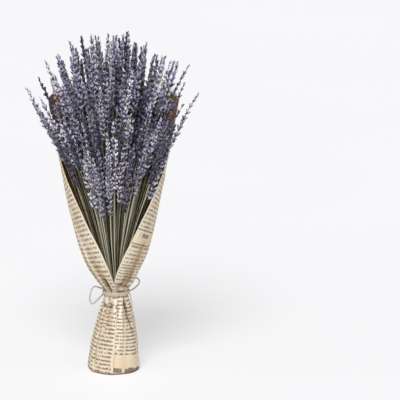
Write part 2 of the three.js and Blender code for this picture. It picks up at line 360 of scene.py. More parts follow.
def twine_recipe():
    inputs = {"Radius": float, "Step": float, "Turns per metre": float, "Hairs": float, "Seed": int,
              "Section": bpy.types.Object, "Hair": bpy.types.Object, "Material": bpy.types.Material}
    tree, given = new_recipe("twine", inputs)
    line = add_node(tree, "GeometryNodeMeshToCurve", {"Mesh": given["Geometry"]})
    even = add_node(tree, "GeometryNodeResampleCurve", {"Curve": line.outputs[0], "Length": given["Step"]},
                    mode="LENGTH")
    along = add_node(tree, "GeometryNodeSplineParameter").outputs["Length"]
    turns = calc(tree, "MULTIPLY", calc(tree, "MULTIPLY", along, given["Turns per metre"]), 2 * math.pi)
    twisted = add_node(tree, "GeometryNodeSetCurveTilt", {"Curve": even.outputs[0], "Tilt": turns})
    shape = add_node(tree, "GeometryNodeObjectInfo", {"Object": given["Section"]})
    section = add_node(tree, "GeometryNodeMeshToCurve", {"Mesh": shape.outputs["Geometry"]})
    scale = calc(tree, "DIVIDE", given["Radius"], MM)
    skin = add_node(tree, "GeometryNodeCurveToMesh", {
        "Curve": twisted.outputs[0], "Profile Curve": section.outputs[0], "Scale": scale, "Fill Caps": True})
    spots = add_node(tree, "GeometryNodeDistributePointsOnFaces", {
        "Mesh": skin.outputs[0], "Density": given["Hairs"], "Seed": given["Seed"]})
    lean = add_node(tree, "FunctionNodeRandomValue", {
        "Min": (0.5, -0.6, -1.5), "Max": (1.3, 0.6, 1.5), "Seed": given["Seed"]}, data_type="FLOAT_VECTOR")
    lean_turn = add_node(tree, "FunctionNodeEulerToRotation", {"Euler": lean.outputs["Value"]})
    turned = add_node(tree, "FunctionNodeRotateRotation", {
        "Rotation": spots.outputs["Rotation"], "Rotate By": lean_turn.outputs[0]}, rotation_space="LOCAL")
    size = add_node(tree, "FunctionNodeRandomValue", {"Min_001": 0.7, "Max_001": 2.0, "Seed": given["Seed"]})
    strand = add_node(tree, "GeometryNodeObjectInfo", {"Object": given["Hair"]})
    hairs = add_node(tree, "GeometryNodeInstanceOnPoints", {
        "Points": spots.outputs["Points"], "Instance": strand.outputs["Geometry"],
        "Rotation": turned.outputs[0], "Scale": pick(size.outputs, "Value_001")})
    both = add_node(tree, "GeometryNodeJoinGeometry")
    tree.links.new(hairs.outputs[0], both.inputs[0])
    tree.links.new(skin.outputs[0], both.inputs[0])
    real = add_node(tree, "GeometryNodeRealizeInstances", {"Geometry": both.outputs[0]})
    coated = add_node(tree, "GeometryNodeSetMaterial", {
        "Geometry": real.outputs[0], "Material": given["Material"]})
    end = tree.nodes.new("NodeGroupOutput")
    tree.links.new(coated.outputs[0], end.inputs[0])
    return tree


twine = twine_recipe()
section_shape = ply_section()
hair_shape = hair()
print("twine recipe:", len(twine.nodes), "nodes")

# %% [markdown]
# The bow. Its two loops leave the knot behind the bunch and come back to it,
# and two cut ends hang down: one from the knot, and one from under the turns
# at the side. The points are the ones that the CAD model has, so the twine
# lies where its plain tubes lie.

# %% Free twine
TWINE_DIAMETER = 1.8 * MM
TWINE_TURNS_PER_METRE = 190
HAIRS_PER_SQUARE_METRE = 220000
winding_low, winding_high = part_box("twine_winding")
winding_middle = (winding_low + winding_high) / 2
knot_low, knot_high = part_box("twine_knot")
knot_middle = (knot_low + knot_high) / 2
TAIL_RIGHT_AZIMUTH = math.radians(74)
TAIL_RIGHT_DROP = 2.4
tail_reach = (winding_high.x - winding_low.x) / 2 + 0.3 * MM + TWINE_DIAMETER / 2
side_exit = winding_middle + Vector((
    tail_reach * math.sin(TAIL_RIGHT_AZIMUTH),
    -tail_reach * math.cos(TAIL_RIGHT_AZIMUTH),
    -TAIL_RIGHT_DROP * MM,
))

LOOP_LEFT = [
    (-5.0, 0, 1.3), (-10.1, -1.9, 0.8), (-15.1, -5.6, 0), (-19.6, -8.9, 1), (-23.6, -10.9, 3.2),
    (-27.9, -12.4, 3.6), (-31.1, -13.4, -0.5), (-32.5, -14.2, -7), (-32.9, -14.4, -13.5),
    (-29.6, -13.2, -18.4), (-23.1, -9.4, -14), (-17.6, -5.6, -9.4), (-11.6, -1.8, -5), (-5.0, 0, -1.7),
]
LOOP_RIGHT = [
    (5.0, 0, -1.7), (9.4, -2.2, -3), (13.9, -5.8, -3.7), (18.4, -8.9, -2), (23.4, -9.9, 1.5),
    (27.9, -9.6, 6), (29.2, -8.6, 10), (26.7, -6.8, 13.2), (21.9, -3.9, 12.8), (15.9, -0.1, 10),
    (10.4, 2.2, 6.2), (5.0, 0.4, 1.8),
]
TAIL_BACK = [
    (1.2, -0.2, -4.2), (1.8, 0.1, -10), (2.3, 1.2, -16), (2.6, 2.5, -23), (2.3, 3.7, -30),
    (1.6, 5.1, -37), (0.6, 6.8, -43), (-0.4, 8.2, -48),
]
TAIL_RIGHT = [
    (-1.5, 0.4, 1.4), (0, 0, -0.6), (0.6, -0.8, -4.1), (1.5, -1.9, -8.8), (2.4, -3.3, -13.8),
    (2.9, -5, -18.8), (2.4, -7.3, -22.8), (0.6, -9.7, -25.8), (-2, -11.8, -27.4),
]


def spun(name, path, seed):
    """Twine along a path."""
    return grow(name, twine, line_mesh(name, [path]), {
        "Radius": TWINE_DIAMETER / 2, "Step": 0.6 * MM, "Turns per metre": TWINE_TURNS_PER_METRE,
        "Hairs": HAIRS_PER_SQUARE_METRE, "Seed": seed, "Section": section_shape, "Hair": hair_shape,
        "Material": jute})


def free_twine(node, route, start, seed):
    path = smooth_path([Vector(point) * MM + start for point in route], 1 * MM)
    piece = spun(node + "_twine", path, seed)
    finish_piece(piece, "jute", node)


free_twine("bow_loop_left", LOOP_LEFT, knot_middle, 1)
free_twine("bow_loop_right", LOOP_RIGHT, knot_middle, 2)
free_twine("tail_back", TAIL_BACK, knot_middle, 3)
free_twine("tail_right", TAIL_RIGHT, side_exit, 4)

# %% [markdown]
# Round the waist the twine goes in a tight screw line, three turns side by
# side. Hand-wound turns are never quite level, so each one dips and rises by
# part of its own thickness. The knot behind is a real one: a trefoil, the
# simplest line that is knotted, squeezed to the size of the knot.

# %% Winding and knot
WINDING_TURNS = 3
STEPS_PER_TURN = 72
WINDING_SAG = 0.34 * MM
winding_radius = (winding_high.x - winding_low.x) / 2 - TWINE_DIAMETER / 2
winding_path = []
for i in range(WINDING_TURNS * STEPS_PER_TURN + 1):
    turns = i / STEPS_PER_TURN
    angle = 2 * math.pi * turns + math.pi / 2
    rise = (turns / WINDING_TURNS - 0.5) * (WINDING_TURNS - 1) * TWINE_DIAMETER
    sag = WINDING_SAG * math.sin(2 * angle + turns)
    winding_path.append(winding_middle + Vector((
        winding_radius * math.cos(angle), winding_radius * math.sin(angle), rise + sag)))
winding = spun("twine_turns", winding_path, 5)
finish_piece(winding, "jute", "twine_winding")

KNOT_STEPS = 96
knot_half = (knot_high - knot_low) / 2
knot_path = []
for i in range(KNOT_STEPS + 1):
    t = 2 * math.pi * i / KNOT_STEPS
    across = (math.sin(t) + 2 * math.sin(2 * t)) / 3
    up = (math.cos(t) - 2 * math.cos(2 * t)) / 3
    deep = -math.sin(3 * t)
    knot_path.append(knot_middle + Vector((across * (knot_half.x - TWINE_DIAMETER / 2),
                                           deep * (knot_half.y - TWINE_DIAMETER / 2),
                                           up * (knot_half.z - TWINE_DIAMETER / 2))))
knot = spun("twine_bow_knot", knot_path, 6)
finish_piece(knot, "jute", "twine_knot")
print("twine round the waist:", round(path_length(winding_path) / MM), "mm")

# %% [markdown]
# The wrap is one sheet of newsprint. It is rolled round the stems with its
# left side on top, squeezed into pleats by the twine, and it springs open
# again on both sides of it: into a foot below, and into a funnel above whose
# two free edges part in a V. The script follows the sheet itself: one number
# runs across it from edge to edge, another up it, and functions say where
# each point of the flat sheet ends up in space.

# %% The sheet's outline
SHEET_WIDTH = 250 * MM
hem = [v.co for v in frame["nodes"]["paper_wrap"].data.vertices if v.co.z < 0.1 * MM]
FOOT_RADIUS = (max(p.x for p in hem) - min(p.x for p in hem)) / 2
WAIST_RADIUS = winding_high.x - winding_middle.x - TWINE_DIAMETER - 0.3 * MM
WAIST_HEIGHT = winding_middle.z
HALF_BAND = 3.5 * MM
SHEET_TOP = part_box("paper_wrap")[1].z
SKIRT_BULGE = 0.65
COLLAR_RADIUS = 24 * MM
COLLAR_REACH = 32 * MM
CONE_SLOPE = 0.175
DEPTH_SHARE = 0.82
V_HEIGHT = 117 * MM
V_RISE = 2.07 * MM
CORNER_START = 75
CORNER_END = 92
V_TWIST = 5
V_TWIST_REACH = 30 * MM
TIE_PULL = (3.2 * MM, 90 * MM, 50 * MM)

# Where the sheet's side edges run below the V: heights, and azimuths in
# degrees from the front. The left edge lies on top, the right one is hidden.
OVERLAP_HEIGHTS = [0, 50 * MM, 97 * MM, 103 * MM, 117 * MM]
TOP_EDGE_AZIMUTHS = [-1.6, 1.5, 5, 5, -5]
HIDDEN_EDGE_AZIMUTHS = [-75, -62, -50, -46, -5]


def middle_x(z):
    pull, height, reach = TIE_PULL
    return pull * np.exp(-(((z - height) / reach) ** 2))


def above_band(z):
    return np.maximum(0, z - WAIST_HEIGHT - HALF_BAND)


def wrap_radius(z):
    bottom = WAIST_HEIGHT - HALF_BAND
    t = np.clip((bottom - z) / bottom, 0, 1)
    skirt = (FOOT_RADIUS - WAIST_RADIUS) * t * (1 + SKIRT_BULGE * (1 - t))
    h = above_band(z)
    return WAIST_RADIUS + skirt + COLLAR_RADIUS * (1 - np.exp(-h / COLLAR_REACH)) + CONE_SLOPE * h


def depth_share(z):
    return 1 - (1 - DEPTH_SHARE) * (1 - np.exp(-above_band(z) / COLLAR_REACH))


def smooth_step(value, low, high):
    t = np.clip((value - low) / (high - low), 0, 1)
    return t * t * (3 - 2 * t)


def v_azimuth(z):
    """How far from the front the free edges stand at a height, in degrees."""
    azimuths = np.linspace(0, CORNER_END, 185)
    straight = V_HEIGHT + V_RISE * np.minimum(azimuths, CORNER_START)
    heights = straight + (SHEET_TOP - straight) * smooth_step(azimuths, CORNER_START, CORNER_END)
    return np.interp(z, heights, azimuths)


def edge_azimuths(z):
    """Azimuths of the hidden right edge and of the left edge on top of it."""
    twist = V_TWIST * np.exp(-np.maximum(0, z - V_HEIGHT) / V_TWIST_REACH)
    low = z < V_HEIGHT
    right = np.where(low, np.interp(z, OVERLAP_HEIGHTS, HIDDEN_EDGE_AZIMUTHS), v_azimuth(z) - twist)
    left = np.where(low, np.interp(z, OVERLAP_HEIGHTS, TOP_EDGE_AZIMUTHS), -v_azimuth(z) - twist)
    return right, 360 + left


print("foot radius:", round(FOOT_RADIUS / MM, 1), "waist radius:", round(WAIST_RADIUS / MM, 1))

# %% [markdown]
# Pleats. The twine draws 250 mm of paper round a waist of 94 mm, so most of
# it must go somewhere: it lies in knife pleats, which lean over like waves
# about to break. A wave that leans is drawn by moving each point sideways and
# inwards by the same sine. How far it leans at each height follows from how
# much paper there is to hide. A few deep creases are pressed in one by one.

# %% Pleats and creases
PLEATS = 11
rng = np.random.default_rng(4)
pleat_widths = rng.uniform(0.65, 1.35, PLEATS)
pleat_ends = np.concatenate([[0], np.cumsum(pleat_widths) / pleat_widths.sum()])
pleat_signs = rng.choice([-1, 1, 1], PLEATS)
pleat_depths = rng.uniform(0.7, 1.2, PLEATS)

PLEAT_DEPTH_LEAST = 0.5
PLEAT_DEPTH_SWELL = 3.8

# Deep creases: heights, azimuths in degrees, half width and depth, in millimetres.
CREASES = [
    ([104, 112, 126], [-26, -29, -33], 1.5, 6.5),
    ([46, 71, 97], [62, 48.5, 42], 1.5, 4.6),
    ([0, 50, 97], [-13, -14, -17], 4.0, 1.1),
    ([10, 60, 96], [-52, -50, -38], 2.6, 2.0),
    ([104, 130, 175], [38, 44, 58], 3.0, 2.2),
    ([104, 125, 160], [-62, -68, -76], 2.6, 2.4),
    ([104, 125, 170], [112, 118, 126], 2.6, 2.6),
    ([104, 128, 180], [168, 172, 176], 3.0, 2.4),
    ([104, 125, 165], [-118, -124, -130], 2.6, 2.4),
    ([20, 70, 97], [118, 112, 104], 3.2, 1.6),
    ([20, 70, 97], [-112, -118, -122], 3.0, 1.6),
    ([10, 60, 97], [176, 170, 164], 3.4, 1.4),
]


def pleat_phase(across):
    """Number of the pleat at a place across the sheet, and where in the pleat it is, from 0 to 1."""
    number = np.clip(np.searchsorted(pleat_ends, across, side="right") - 1, 0, PLEATS - 1)
    start, end = pleat_ends[number], pleat_ends[number + 1]
    return number, (across - start) / (end - start), end - start


def pleat_strength(z):
    """How much the pleats lean at a height, and their depth."""
    right, left = edge_azimuths(z)
    covered = np.radians(left - right) * wrap_radius(z) * (1 + depth_share(z)) / 2
    lean = np.clip(SHEET_WIDTH / covered - 1, 0, 1.7)
    away = np.abs(z - WAIST_HEIGHT)
    swell = smooth_step(away, HALF_BAND, 4 * HALF_BAND) * np.exp(-away / (34 * MM))
    return lean, (PLEAT_DEPTH_LEAST + PLEAT_DEPTH_SWELL * swell) * MM


def crease_depth(azimuth, z, radius):
    total = 0
    turned = (azimuth + 180) % 360 - 180
    for heights, azimuths, width, depth in CREASES:
        low, high = heights[0] * MM, heights[-1] * MM
        line = np.interp(z, np.array(heights) * MM, azimuths)
        gap = (turned - line + 180) % 360 - 180
        off = np.radians(gap) * radius
        within = smooth_step(z, low - 6 * MM, low + 4 * MM) * (1 - smooth_step(z, high - 12 * MM, high))
        total = total + depth * MM * within * np.exp(-((off / (width * MM)) ** 2))
    return total


print("pleats:", PLEATS, "creases:", len(CREASES))

# %% [markdown]
# The mesh is a grid over the sheet. The rows stand closest at the waist,
# where the paper bends most. Each point also gets a place on the flat sheet,
# measured along the paper, as its UV coordinate, so that the print is laid out
# on the flat sheet and then bends with it, as on the real one.

# %% The sheet's mesh
COLUMNS = 286
ROWS_BELOW = 46
ROWS_ABOVE = 92
PAPER_THICKNESS = 0.24 * MM
DEEPEST_FOLD = 6 * MM
UNDERLAP = 0.7 * MM
LIFT = 1.1 * MM
HEM_TUCK = 1.6 * MM
HEM_TUCK_HEIGHT = 3.6 * MM
HEM_SHADE = 5.6 * MM


def wrap_points(across, z):
    """Points of the sheet for its places across and their heights, and how much painted shade each one gets:
    its depth in a fold, or more near the hem.
    """
    right, left = edge_azimuths(z)
    number, phase, width = pleat_phase(across)
    lean, depth = pleat_strength(z)
    turn = np.sin(2 * np.pi * phase)
    azimuth = right + (left - right) * (across - lean * width * turn / (2 * np.pi))
    wave = depth * pleat_depths[number] * (1 + pleat_signs[number] * turn) / 2
    radius = wrap_radius(z)
    under = smooth_step(360 + azimuth - left, 26, 4) * smooth_step(z, V_HEIGHT + 8 * MM, V_HEIGHT - 2 * MM)
    lift = LIFT * smooth_step(across, 0.955, 1) * smooth_step(z, 60 * MM, 0)
    tuck = HEM_TUCK * (1 - smooth_step(z, 0, HEM_TUCK_HEIGHT)) ** 2
    fold = wave + crease_depth(azimuth, z, radius)
    inwards = fold + UNDERLAP * under + tuck - lift
    radius_x = radius - inwards
    radius_y = radius * depth_share(z) - inwards
    angle = np.radians(azimuth)
    points = np.stack([middle_x(z) + radius_x * np.sin(angle), -radius_y * np.cos(angle), z], axis=-1)
    # Painted shade: the bottom few millimetres of the sheet are darkened as if by the shadow where the hem
    # meets the floor.
    in_shade = HEM_SHADE * (1 - smooth_step(z, 0.3 * MM, HEM_TUCK_HEIGHT))
    return points, np.maximum(fold, in_shade)


def wrap_heights():
    below = (WAIST_HEIGHT - HALF_BAND) * (1 - (1 - np.arange(ROWS_BELOW) / ROWS_BELOW) ** 1.35)
    band = np.linspace(WAIST_HEIGHT - HALF_BAND, WAIST_HEIGHT + HALF_BAND, 5)[:-1]
    above = WAIST_HEIGHT + HALF_BAND + (SHEET_TOP - WAIST_HEIGHT - HALF_BAND) * (
        np.arange(ROWS_ABOVE + 1) / ROWS_ABOVE) ** 1.45
    return np.concatenate([below, band, above])


def crumple(points):
    """Moves points a little in and out, the way handled paper is never smooth."""
    for point in points.reshape(-1, 3):
        outwards = Vector((point[0], point[1], 0)).normalized()
        soft = noise.noise(Vector(point) * 28) + 0.5 * noise.noise(Vector(point) * 75)
        calm = min(1, abs(point[2] - WAIST_HEIGHT) / (25 * MM)) * min(1, 0.35 + point[2] / (40 * MM))
        point[:2] += np.array(outwards[:2]) * soft * calm * 1.0 * MM


across = np.linspace(0, 1, COLUMNS + 1)[None, :]
heights = wrap_heights()[:, None]
top_corner = 6 * MM * np.abs(2 * across - 1) ** 6
heights_grid = heights - top_corner * smooth_step(heights, SHEET_TOP - 60 * MM, SHEET_TOP)
wrap_grid, painted_shade_grid = wrap_points(across + 0 * heights, heights_grid)
crumple(wrap_grid)

EASE_ROWS = 9


def place_up_sheet(across, z):
    """Distance up the flat sheet from the twine. A line of print crosses the folds' run squarely, so it is
    followed from column to column, starting at the middle of the back, where the run is straight up."""
    right, left = edge_azimuths(z)
    angle = np.radians(right + (left - right) * across)
    radius = wrap_radius(z)
    run = np.gradient(angle, axis=0) / np.gradient(z, axis=0)
    spread = np.gradient(radius, axis=0) / np.gradient(z, axis=0)
    slope = -radius * run / (1 + spread**2 + (radius * run) ** 2)
    ends = np.pad(slope, ((EASE_ROWS, EASE_ROWS), (0, 0)), mode="edge")
    slope = np.mean([ends[i:i + len(slope)] for i in range(2 * EASE_ROWS + 1)], axis=0)
    aside = radius * np.gradient(angle, axis=1)
    up = np.zeros_like(z)
    middle = z.shape[1] // 2
    back = np.cumsum(np.hypot(np.diff(z[:, middle]), np.diff(radius[:, middle])))
    up[1:, middle] = back
    up[:, middle] -= np.interp(WAIST_HEIGHT, z[:, middle], up[:, middle])
    for step in (1, -1):
        for c in range(middle + step, z.shape[1] if step > 0 else -1, step):
            before = c - step
            came_from = z[:, c] - step * slope[:, c] * aside[:, c]
            beyond = came_from - np.clip(came_from, z[0, before], z[-1, before])
            up[:, c] = np.interp(came_from, z[:, before], up[:, before]) + beyond
    return up


up_sheet = place_up_sheet(across + 0 * heights, heights_grid)


def sheet_mesh(name, grid, across, up, fold):
    rows, columns = grid.shape[:2]
    faces = []
    for r in range(rows - 1):
        for c in range(columns - 1):
            a = r * columns + c
            faces.append((a, a + 1, a + 1 + columns, a + columns))
    mesh = bpy.data.meshes.new(name)
    mesh.from_pydata(grid.reshape(-1, 3).tolist(), [], faces)
    flat = np.stack([np.broadcast_to(across * SHEET_WIDTH, up.shape), up], -1).reshape(-1, 2)
    layer = mesh.uv_layers.new(name="flat_sheet")
    corners = np.zeros(len(mesh.loops), np.int32)
    mesh.loops.foreach_get("vertex_index", corners)
    layer.data.foreach_set("uv", flat[corners].astype(np.float32).ravel())
    # The fold attribute is painted shade: the material darkens the paper the deeper it lies in a fold, and at
    # the hem.
    painted_shade = mesh.attributes.new("fold", "FLOAT", "POINT")
    painted_shade.data.foreach_set("value", (fold / DEEPEST_FOLD).astype(np.float32).ravel())
    mesh.polygons.foreach_set("use_smooth", [True] * len(mesh.polygons))
    return mesh


sheet_host = put_in_scene("sheet_host", sheet_mesh("sheet", wrap_grid, across, up_sheet, painted_shade_grid))
print("sheet length up the middle:", round((up_sheet[-1] - up_sheet[0])[COLUMNS // 2] / MM), "mm")

# %% [markdown]
# The print. It is drawn by arithmetic on the flat sheet: lines of text are
# bands that repeat up the sheet, words are runs of cells that a random number
# keeps or leaves blank, columns repeat across it, and headings and rules are
# boxes. It only hints at writing, so there is nothing to read. Old ink is brown
# rather than black and the paper has yellowed, and noise makes both uneven.
# Shade is painted in too: the paper is darker deep in its folds and at the hem.

# %% Newsprint material
LINE_PITCH = 4.7
COLUMN_WIDTH = 27.6
newsprint, tree, shader = new_material("newsprint", 0.88)
flat_uv = add_node(tree, "ShaderNodeUVMap", uv_map="flat_sheet").outputs[0]
flat_parts = add_node(tree, "ShaderNodeSeparateXYZ", {"Vector": flat_uv})
u_mm = calc(tree, "MULTIPLY", flat_parts.outputs["X"], 1000.0)
v_mm = calc(tree, "MULTIPLY", flat_parts.outputs["Y"], 1000.0)


def between(value, low, high):
    above = calc(tree, "GREATER_THAN", value, low)
    return calc(tree, "MULTIPLY", above, calc(tree, "LESS_THAN", value, high))


def area_mask(u0, u1, v0, v1):
    return calc(tree, "MULTIPLY", between(u_mm, u0, u1), between(v_mm, v0, v1))


def cell_noise(a, b, seed):
    where = add_node(tree, "ShaderNodeCombineXYZ", {"X": a, "Y": b, "Z": seed})
    return add_node(tree, "ShaderNodeTexWhiteNoise", {"Vector": where.outputs[0]}).outputs["Value"]


def greeked_lines(pitch, cell, tall, seed):
    """Lines of make-believe text: pitch from line to line, width of a letter, and share of ink height."""
    line = calc(tree, "DIVIDE", v_mm, pitch)
    row = calc(tree, "FLOOR", line)
    height = calc(tree, "FRACT", line)
    letter = calc(tree, "FLOOR", calc(tree, "DIVIDE", u_mm, cell))
    kept = calc(tree, "GREATER_THAN", cell_noise(letter, row, seed), 0.17)
    rises = calc(tree, "GREATER_THAN", cell_noise(letter, row, seed + 1.5), 0.7)
    top = calc(tree, "ADD", calc(tree, "MULTIPLY", rises, 0.16), 0.22 + tall)
    band = between(height, 0.22, top)
    strokes = calc(tree, "GREATER_THAN", calc(tree, "FRACT", calc(tree, "DIVIDE", u_mm, cell / 2)), 0.16)
    return calc(tree, "MULTIPLY", calc(tree, "MULTIPLY", kept, band), strokes)


def column_mask(width, gutter):
    place = calc(tree, "MULTIPLY", calc(tree, "FRACT", calc(tree, "DIVIDE", u_mm, width)), width)
    return between(place, gutter / 2, width - gutter / 2)


# Boxes on the flat sheet, in millimetres from its right edge and from the
# twine: (right, left, low, high). Headings, blank strips and rules.
HEADINGS = [(205, 246, -21, -12), (88, 112, 168, 180), (130, 190, 96, 108), (8, 28, 62, 70),
            (20, 97, -106, -97), (150, 196, 40, 50), (40, 70, 150, 160)]
BLANKS = [(249, 250, -110, 260), (200, 250, -11, -5), (0, 100, -97, -84), (0, 38, 57, 74),
          (128, 200, 92, 112), (86, 116, 164, 184), (146, 200, 36, 54), (36, 74, 147, 163),
          (0, 3, -110, 260)]
RULES = [(1, 38, 56.4, 57.8), (1, 38, 72.6, 74), (128, 199, 90.5, 91.3), (146, 199, 34.5, 35.2)]


def all_boxes(boxes):
    total = area_mask(*boxes[0])
    for box in boxes[1:]:
        total = calc(tree, "MAXIMUM", total, area_mask(*box))
    return total


body_text = calc(tree, "MULTIPLY", greeked_lines(LINE_PITCH, 1.3, 0.42, 3.0), column_mask(COLUMN_WIDTH, 2.8))
open_area = calc(tree, "SUBTRACT", 1.0, calc(tree, "MAXIMUM", all_boxes(BLANKS), all_boxes(HEADINGS)))
body_text = calc(tree, "MULTIPLY", body_text, open_area)
big_text = calc(tree, "MULTIPLY", greeked_lines(9.0, 4.4, 0.5, 9.0), all_boxes(HEADINGS))
rules = all_boxes(RULES)
place = object_place(tree)
worn = noise_at(tree, place, 240, 3)
wear = ramp(tree, worn, [(0.3, (0.66, 0.66, 0.66, 1)), (0.55, (1, 1, 1, 1))])
ink = calc(tree, "MAXIMUM", calc(tree, "MULTIPLY", body_text, 0.95), calc(tree, "MAXIMUM", big_text, rules))
above_tie = calc(tree, "GREATER_THAN", v_mm, 0.0)
strength = calc(tree, "SUBTRACT", 0.92, calc(tree, "MULTIPLY", above_tie, 0.14))
ink = calc(tree, "MULTIPLY", calc(tree, "MULTIPLY", ink, wear), strength)

yellowed = noise_at(tree, place, 16, 4)
pulp = noise_at(tree, place, 1500, 3)
sheet_color = ramp(tree, yellowed, [(0.3, paint(234, 223, 203)), (0.52, paint(228, 213, 188)),
                                    (0.75, paint(216, 194, 161))])
speck = ramp(tree, pulp, [(0.35, (0.84, 0.83, 0.8, 1)), (0.6, (1, 1, 1, 1))])
sheet_color = blend_colors(tree, 1.0, sheet_color, speck, "MULTIPLY")
printed = blend_colors(tree, ink, sheet_color, paint(60, 51, 48))
# Painted shade: paper deep in a fold, or at the hem, is darkened and browned as the folds and the floor shade
# it.
painted_shade = ramp(tree, attribute_value(tree, "fold"), [(0.08, (1, 1, 1, 1)), (0.45, (0.62, 0.54, 0.46, 1)),
                                                     (0.9, (0.2, 0.15, 0.12, 1))])
printed = blend_colors(tree, 1.0, printed, painted_shade, "MULTIPLY")
tree.links.new(printed, shader.inputs["Base Color"])
add_bump(tree, shader, calc(tree, "ADD", calc(tree, "MULTIPLY", noise_at(tree, place, 120, 4), 1.0),
                            calc(tree, "MULTIPLY", pulp, 0.25)), 0.5 * MM, 0.6)
print("newsprint is ready")

# %% [markdown]
# The back of the sheet has no print. It is plain brown kraft, with short
# darker fibres, and it shows inside the funnel.

# %% Back of the sheet
kraft, tree, shader = new_material("kraft_back", 0.92)
place = object_place(tree)
fibre = noise_at(tree, place, 500, 4, (1, 1, 0.25))
cloud = noise_at(tree, place, 22, 3)
brown = ramp(tree, fibre, [(0.3, paint(128, 88, 52)), (0.55, paint(168, 122, 78)),
                           (0.8, paint(196, 152, 106))])
brown = blend_colors(tree, calc(tree, "MULTIPLY", cloud, 0.5), brown, paint(158, 106, 60))
tree.links.new(brown, shader.inputs["Base Color"])
add_bump(tree, shader, fibre, 0.3 * MM, 0.7)

sheet_host.data.materials.append(newsprint)
sheet_host.data.materials.append(kraft)
solid = sheet_host.modifiers.new("thickness", "SOLIDIFY")
solid.thickness = PAPER_THICKNESS
solid.offset = -1
solid.material_offset = 1
wrap = frozen(sheet_host, "newsprint_wrap")
finish_piece(wrap, "newsprint", "paper_wrap")
print("sheet:", len(wrap.data.polygons), "faces")

# %% [markdown]
# A sprig of dried lavender is a thin square stem with a flower head at its
# top. The head is a column of whorls, rings of small dry flower cups, each
# ring with two papery brown leaves below it. First the cup: a slim ribbed
# tube, closed at its foot and toothed at its rim. There are three kinds of
# it, one slim, one full and one with a withered petal in its mouth. A cup is
# used many thousand times, so each has 30 faces at most.

# %% Flower cups
CUP_SIDES = 6


def ring(radius, height, turn=0.0):
    return [Vector((radius * math.cos(a), radius * math.sin(a), height)) * MM
            for a in (2 * math.pi * i / CUP_SIDES + turn for i in range(CUP_SIDES))]


def lathe_shape(name, rings, foot, tip):
    """A closed shape through rings, from a foot point to a tip point, with a place along it as its UV."""
    points = [Vector(foot) * MM] + [p for one in rings for p in one] + [Vector(tip) * MM]
    last = len(points) - 1
    faces = []
    for i in range(CUP_SIDES):
        j = (i + 1) % CUP_SIDES
        faces.append((0, 1 + j, 1 + i))
        for level in range(len(rings) - 1):
            low, high = 1 + level * CUP_SIDES, 1 + (level + 1) * CUP_SIDES
            faces.append((low + i, low + j, high + j, high + i))
        top = 1 + (len(rings) - 1) * CUP_SIDES
        faces.append((top + i, top + j, last))
    mesh = bpy.data.meshes.new(name)
    mesh.from_pydata(points, [], faces)
    along = mesh.attributes.new("along", "FLOAT", "POINT")
    length = (tip[2] - foot[2]) * MM
    along.data.foreach_set("value", [min(1, max(0, p.z / length)) for p in points])
    mesh.polygons.foreach_set("use_smooth", [True] * len(faces))
    return mesh


def cup_shape(name, width, length, petal):
    """A cup along +Z: its teeth spread at the rim, and its mouth is a small hollow or holds a petal."""
    rings = [ring(0.36 * width, 0.06 * length), ring(width, 0.52 * length)]
    rim = ring(0.86 * width, 0.9 * length, 0.3)
    for i in (0, 2, 4):
        rim[i] = rim[i] * 1.12 + Vector((0, 0, 0.08 * length * MM))
    rings.append(rim)
    mouth = 0.76 * length
    if petal:
        rings.append(ring(0.4 * width, 1.02 * length, 0.6))
        mouth = 1.18 * length
    return lathe_shape(name, rings, (0, 0, 0), (0.15 * width, 0, mouth))


def bract_shape():
    """A papery leaf, pointed and slightly cupped, thin but closed."""
    outline = [(0, 0, 0), (-1.1, 0.15, 1.5), (0, -0.35, 1.7), (1.1, 0.15, 1.5), (0, 0.5, 3.9)]
    front = [Vector(p) * MM for p in outline]
    back = [p + Vector((0, 0.14, 0)) * MM for p in front]
    faces = [(0, 2, 1), (0, 3, 2), (1, 2, 4), (2, 3, 4)]
    rim = [0, 3, 4, 1]
    other = [tuple(i + 5 for i in reversed(face)) for face in faces]
    sides = [(a, a + 5, b + 5, b) for a, b in zip(rim, rim[1:] + rim[:1])]
    mesh = bpy.data.meshes.new("bract")
    mesh.from_pydata(front + back, [], faces + other + sides)
    shape = bmesh.new()
    shape.from_mesh(mesh)
    bmesh.ops.recalc_face_normals(shape, faces=shape.faces)
    shape.to_mesh(mesh)
    shape.free()
    along = mesh.attributes.new("along", "FLOAT", "POINT")
    along.data.foreach_set("value", [v.co.z / (3.9 * MM) for v in mesh.vertices])
    return mesh


cups = bpy.data.collections.new("cups")
for cup in [cup_shape("cup_1_slim", 0.96, 7.4, False), cup_shape("cup_2_full", 1.26, 7.0, False),
            cup_shape("cup_3_petal", 1.08, 6.4, True)]:
    cups.objects.link(bpy.data.objects.new(cup.name, cup))
bract = put_in_scene("bract", bract_shape())
